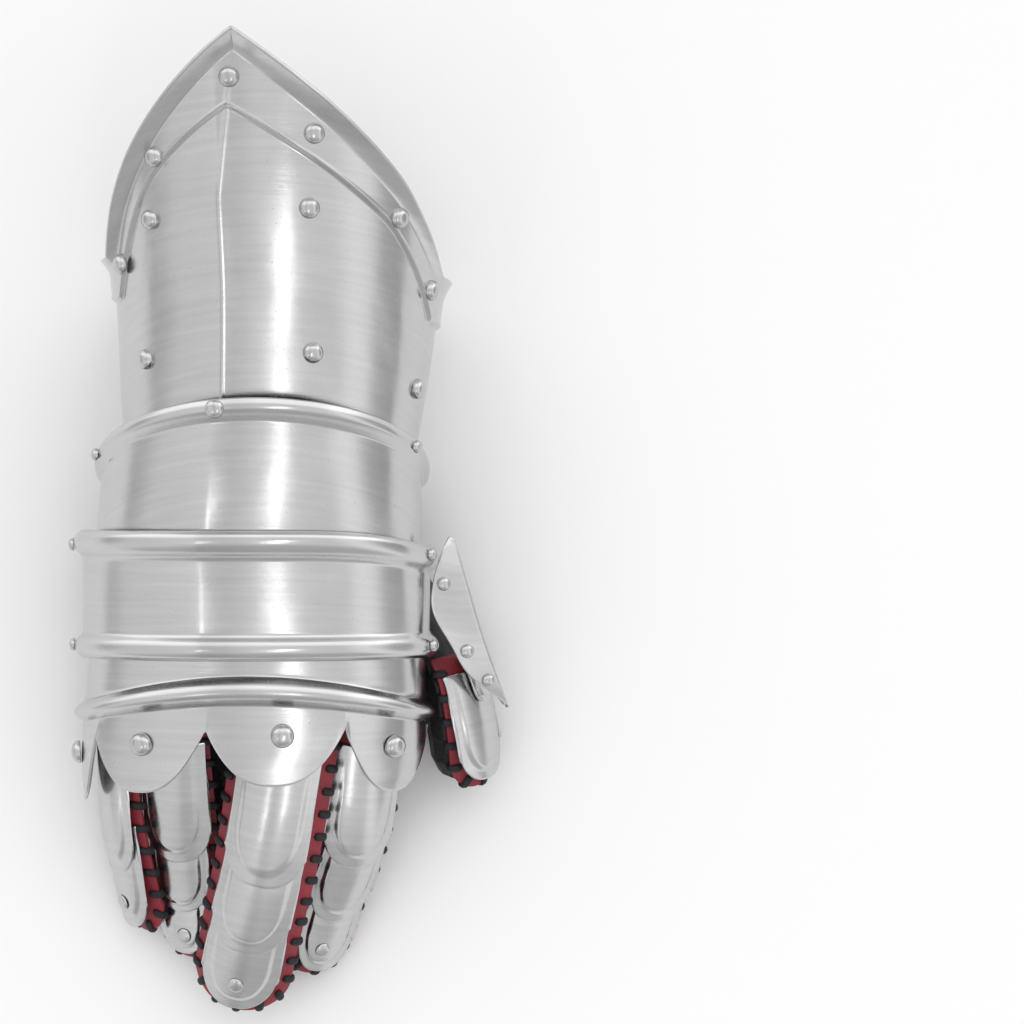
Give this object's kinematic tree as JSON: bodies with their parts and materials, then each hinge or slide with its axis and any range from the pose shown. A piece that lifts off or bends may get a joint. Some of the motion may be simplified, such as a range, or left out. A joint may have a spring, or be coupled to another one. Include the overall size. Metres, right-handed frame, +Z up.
{
  "type": "armoured gauntlet",
  "caption": "Steel armoured gauntlet for one hand: pointed flared cuff, beaded wrist and hand lames, scalloped knuckle plate and finger scales over a leather glove, lying palm down.",
  "frame": {"origin": "middle of the bottom of the bounding box, on the surface the gauntlet lies on", "axes": "+Z up from the surface, back of the hand up; +Y from the fingertips to the point of the cuff; +X towards the thumb"},
  "size_m": [0.1646, 0.3558, 0.124],
  "materials": {
    "plate_steel": "polished sheet steel with fine brushing",
    "rivet_steel": "domed rivet heads, lightly scuffed",
    "red_leather": "smooth dyed leather with whip-stitched edges",
    "black_leather": "matt soft glove leather"
  },
  "bodies": {
    "root": {"cuff": "plate_steel", "cuff_rim_rivet_1": "rivet_steel", "cuff_rim_rivet_2": "rivet_steel", "cuff_rim_rivet_3": "rivet_steel", "cuff_rim_rivet_4": "rivet_steel", "cuff_rim_rivet_5": "rivet_steel", "cuff_rim_rivet_6": "rivet_steel", "cuff_rim_rivet_7": "rivet_steel", "cuff_rivet_1": "rivet_steel", "cuff_rivet_2": "rivet_steel", "cuff_rivet_3": "rivet_steel", "cuff_rivet_4": "rivet_steel", "cuff_rivet_5": "rivet_steel", "cuff_rivet_6": "rivet_steel", "glove": "black_leather", "hand_lame": "plate_steel", "hand_rivet_1": "rivet_steel", "hand_rivet_2": "rivet_steel", "hand_rivet_3": "rivet_steel", "hand_rivet_4": "rivet_steel", "index_scale_1": "plate_steel", "index_scale_2": "plate_steel", "index_scale_3": "plate_steel", "index_strip": "red_leather", "index_tip_rivet": "rivet_steel", "knuckle_plate": "plate_steel", "knuckle_rivet_index": "rivet_steel", "knuckle_rivet_little": "rivet_steel", "knuckle_rivet_middle": "rivet_steel", "knuckle_rivet_ring": "rivet_steel", "little_scale_1": "plate_steel", "little_scale_2": "plate_steel", "little_strip": "red_leather", "little_tip_rivet": "rivet_steel", "middle_scale_1": "plate_steel", "middle_scale_2": "plate_steel", "middle_scale_3": "plate_steel", "middle_strip": "red_leather", "middle_tip_rivet": "rivet_steel", "ring_scale_1": "plate_steel", "ring_scale_2": "plate_steel", "ring_scale_3": "plate_steel", "ring_strip": "red_leather", "ring_tip_rivet": "rivet_steel", "thumb_plate": "plate_steel", "thumb_rivet_1": "rivet_steel", "thumb_rivet_2": "rivet_steel", "thumb_rivet_3": "rivet_steel", "thumb_scale_1": "plate_steel", "thumb_scale_2": "plate_steel", "thumb_strip": "red_leather", "wrist_lame": "plate_steel", "wrist_rivet_1": "rivet_steel", "wrist_rivet_2": "rivet_steel", "wrist_rivet_3": "rivet_steel"}
  },
  "joints": []
}
